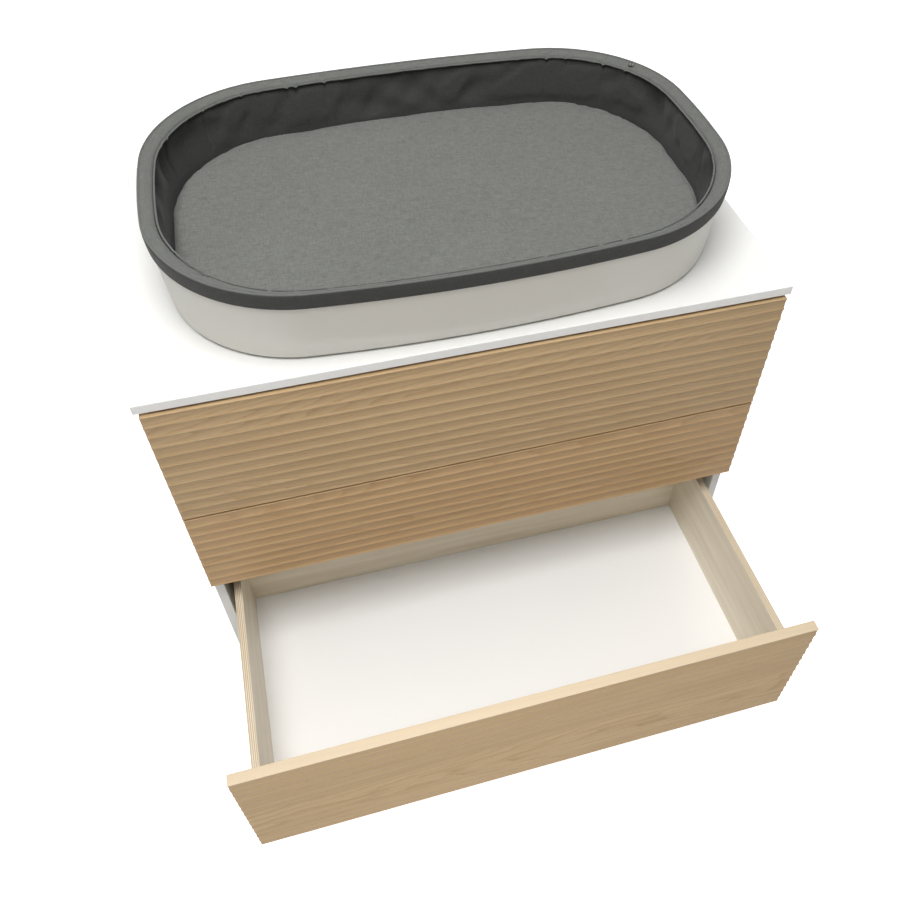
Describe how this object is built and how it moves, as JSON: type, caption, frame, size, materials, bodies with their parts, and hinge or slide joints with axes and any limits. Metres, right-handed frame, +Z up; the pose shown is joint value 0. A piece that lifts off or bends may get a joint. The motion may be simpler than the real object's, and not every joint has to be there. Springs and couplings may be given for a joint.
{
  "type": "changing table",
  "caption": "Chest with ribbed beech drawer fronts, white case and short legs, carrying an oval changing tray with a grey padded liner; lowest drawer pulled out.",
  "frame": {"origin": "on the floor, under the middle of the whole piece's footprint with the lowest drawer pulled out as stored", "axes": "+Z up, +Y towards the back, +X to the right as seen from the front"},
  "size_m": [0.98, 0.9366, 1.0109],
  "materials": {
    "white_board": "satin white lacquered board",
    "back_board": "white faced hardboard",
    "beech": "oiled beech, matt",
    "dowel_wood": "raw beech",
    "birch_ply": "clear lacquered birch plywood",
    "drawer_sheet": "white faced hardboard",
    "runner_steel": "bright zinc plated",
    "screw_steel": "zinc plated",
    "cam_zinc": "cast zinc",
    "plate_steel": "black powder coat",
    "glide_plastic": "matt",
    "tray_white": "satin white",
    "pad_rubber": "matt",
    "liner_fabric": "woven melange",
    "mattress_fabric": "woven melange",
    "zip_metal": "nickel"
  },
  "bodies": {
    "cabinet": {"back_panel": "back_board", "back_panel_screws": "screw_steel", "bottom_panel": "white_board", "cam_bolts": "screw_steel", "cam_locks": "cam_zinc", "dowels": "dowel_wood", "foot_glides": "glide_plastic", "front_rail": "white_board", "leg_back_left": "beech", "leg_back_right": "beech", "leg_front_left": "beech", "leg_front_right": "beech", "leg_plate_screws": "screw_steel", "leg_plates": "plate_steel", "leg_studs": "screw_steel", "rail_screws": "screw_steel", "rear_rail": "white_board", "runner_bottom_outer": "runner_steel", "runner_middle_outer": "runner_steel", "runner_top_outer": "runner_steel", "side_panel_left": "white_board", "side_panel_right": "white_board", "top_panel": "white_board", "wall_plate_screws": "screw_steel", "wall_plates": "plate_steel"},
    "drawer_top": {"drawer_top_back": "birch_ply", "drawer_top_bottom": "drawer_sheet", "drawer_top_front": "beech", "drawer_top_front_screws": "screw_steel", "drawer_top_inner_front": "birch_ply", "drawer_top_side_left": "birch_ply", "drawer_top_side_right": "birch_ply", "runner_top_inner": "runner_steel"},
    "drawer_middle": {"drawer_middle_back": "birch_ply", "drawer_middle_bottom": "drawer_sheet", "drawer_middle_front": "beech", "drawer_middle_front_screws": "screw_steel", "drawer_middle_inner_front": "birch_ply", "drawer_middle_side_left": "birch_ply", "drawer_middle_side_right": "birch_ply", "runner_middle_inner": "runner_steel"},
    "drawer_bottom": {"drawer_bottom_back": "birch_ply", "drawer_bottom_bottom": "drawer_sheet", "drawer_bottom_front": "beech", "drawer_bottom_front_screws": "screw_steel", "drawer_bottom_inner_front": "birch_ply", "drawer_bottom_side_left": "birch_ply", "drawer_bottom_side_right": "birch_ply", "runner_bottom_inner": "runner_steel"},
    "runners_top": {"runner_top_middle": "runner_steel"},
    "runners_middle": {"runner_middle_middle": "runner_steel"},
    "runners_bottom": {"runner_bottom_middle": "runner_steel"},
    "tray": {"tray_shell": "tray_white", "tray_floor": "tray_white", "tray_pads": "pad_rubber", "tray_liner": "liner_fabric", "zip_pull": "zip_metal"},
    "mattress": {"mattress": "mattress_fabric"}
  },
  "joints": [
    {"name": "drawer_top_slide", "type": "slide", "parent": "cabinet", "child": "drawer_top", "axis": [0, -1, 0], "range_m": [0, 0.435]},
    {"name": "runner_top_slide", "type": "slide", "parent": "cabinet", "child": "runners_top", "axis": [0, -1, 0], "range_m": [0, 0.2175]},
    {"name": "drawer_middle_slide", "type": "slide", "parent": "cabinet", "child": "drawer_middle", "axis": [0, -1, 0], "range_m": [0, 0.435]},
    {"name": "runner_middle_slide", "type": "slide", "parent": "cabinet", "child": "runners_middle", "axis": [0, -1, 0], "range_m": [0, 0.2175]},
    {"name": "drawer_bottom_slide", "type": "slide", "parent": "cabinet", "child": "drawer_bottom", "axis": [0, -1, 0], "range_m": [-0.3435, 0.0915]},
    {"name": "runner_bottom_slide", "type": "slide", "parent": "cabinet", "child": "runners_bottom", "axis": [0, -1, 0], "range_m": [-0.17175, 0.04575]},
    {"name": "tray_lift", "type": "slide", "parent": "cabinet", "child": "tray", "axis": [0, 0, 1], "range_m": [0, 0.2]},
    {"name": "mattress_lift", "type": "slide", "parent": "tray", "child": "mattress", "axis": [0, 0, 1], "range_m": [0, 0.15]}
  ],
  "couplings": [
    {"joint": "runner_top_slide", "follows": "drawer_top_slide", "ratio": 0.5},
    {"joint": "runner_middle_slide", "follows": "drawer_middle_slide", "ratio": 0.5},
    {"joint": "runner_bottom_slide", "follows": "drawer_bottom_slide", "ratio": 0.5}
  ]
}
